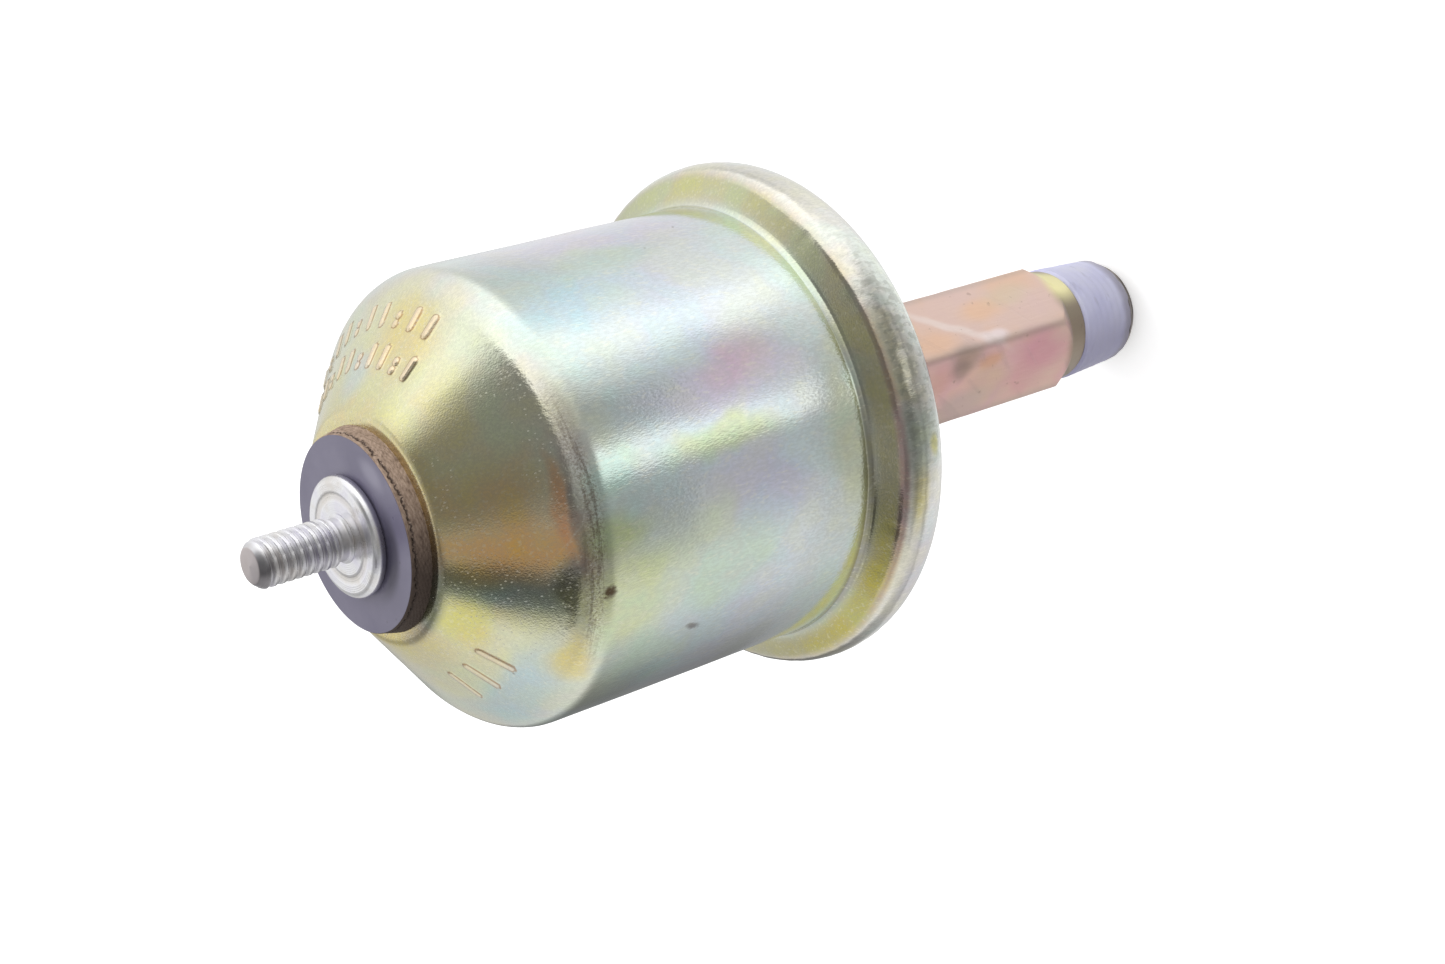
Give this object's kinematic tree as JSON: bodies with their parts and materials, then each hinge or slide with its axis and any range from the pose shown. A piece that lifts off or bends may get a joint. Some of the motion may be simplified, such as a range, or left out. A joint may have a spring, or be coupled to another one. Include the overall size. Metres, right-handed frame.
{
  "type": "oil pressure sender",
  "caption": "Canister-shaped oil pressure sender: a stud terminal on a coned steel can with a rolled rim, and a hex nipple with a taper pipe thread.",
  "frame": {"origin": "on the axis at the underside of the hex, where the plain shank above the pipe thread begins", "axes": "+Z along the axis from the pipe thread to the terminal stud, X towards a corner of the hex"},
  "size_m": [0.046, 0.046, 0.0992],
  "materials": {
    "can_plating": "yellow zinc plating with an iridescent sheen, fine grain, a few specks of rust",
    "base_plating": "yellow zinc plating, duller than the can",
    "nipple_plating": "yellow zinc plating gone tan and pink, scratched",
    "stud_plating": "bright tin plating",
    "fibre": "grey fibre sheet with a tan punched edge",
    "sealant": "dried white thread sealant",
    "phenolic": "brown laminated sheet",
    "brass": "plain brass",
    "spring_bronze": "rolled bronze strip",
    "seal_rubber": "black rubber",
    "inner_steel": "clear zinc plating",
    "spring_steel": "drawn spring wire",
    "contact_silver": "polished contact metal",
    "resistance_wire": "fine bare resistance wire"
  },
  "bodies": {
    "housing": {"cover_can": "can_plating", "terminal_stud": "stud_plating", "terminal_washer": "fibre", "inner_insulator": "phenolic", "contact_leaf": "spring_bronze", "hex_nipple": "nipple_plating", "thread_sealant": "sealant", "snubber_plug": "brass", "base_plate": "base_plating", "seal_ring": "seal_rubber", "diaphragm": "spring_bronze", "bridge_plate": "inner_steel", "return_spring": "spring_steel", "bracket": "inner_steel", "bracket_rivets": "inner_steel", "pivot_pin": "spring_steel", "resistor_card": "phenolic", "resistor_winding": "resistance_wire", "card_clip": "brass"},
    "plunger": {"plunger": "inner_steel"},
    "lever": {"lever": "inner_steel", "zero_screw": "brass", "wiper_leaf": "spring_bronze", "wiper_rivet": "inner_steel", "wiper_contact": "contact_silver"}
  },
  "joints": [
    {"name": "plunger_slide", "type": "slide", "parent": "housing", "child": "plunger", "axis": [0, 0, 1], "range_m": [0, 0.0012], "stiffness_N_per_m": 800, "deforming": ["return_spring", "diaphragm"]},
    {"name": "lever_swing", "type": "hinge", "parent": "housing", "child": "lever", "pos_m": [-0.003, 0, 0.047], "axis": [0, -1, 0], "range_deg": [0, 23]}
  ],
  "couplings": [
    {"joint": "lever_swing", "follows": "plunger_slide", "rad_per_m": 333.33}
  ]
}
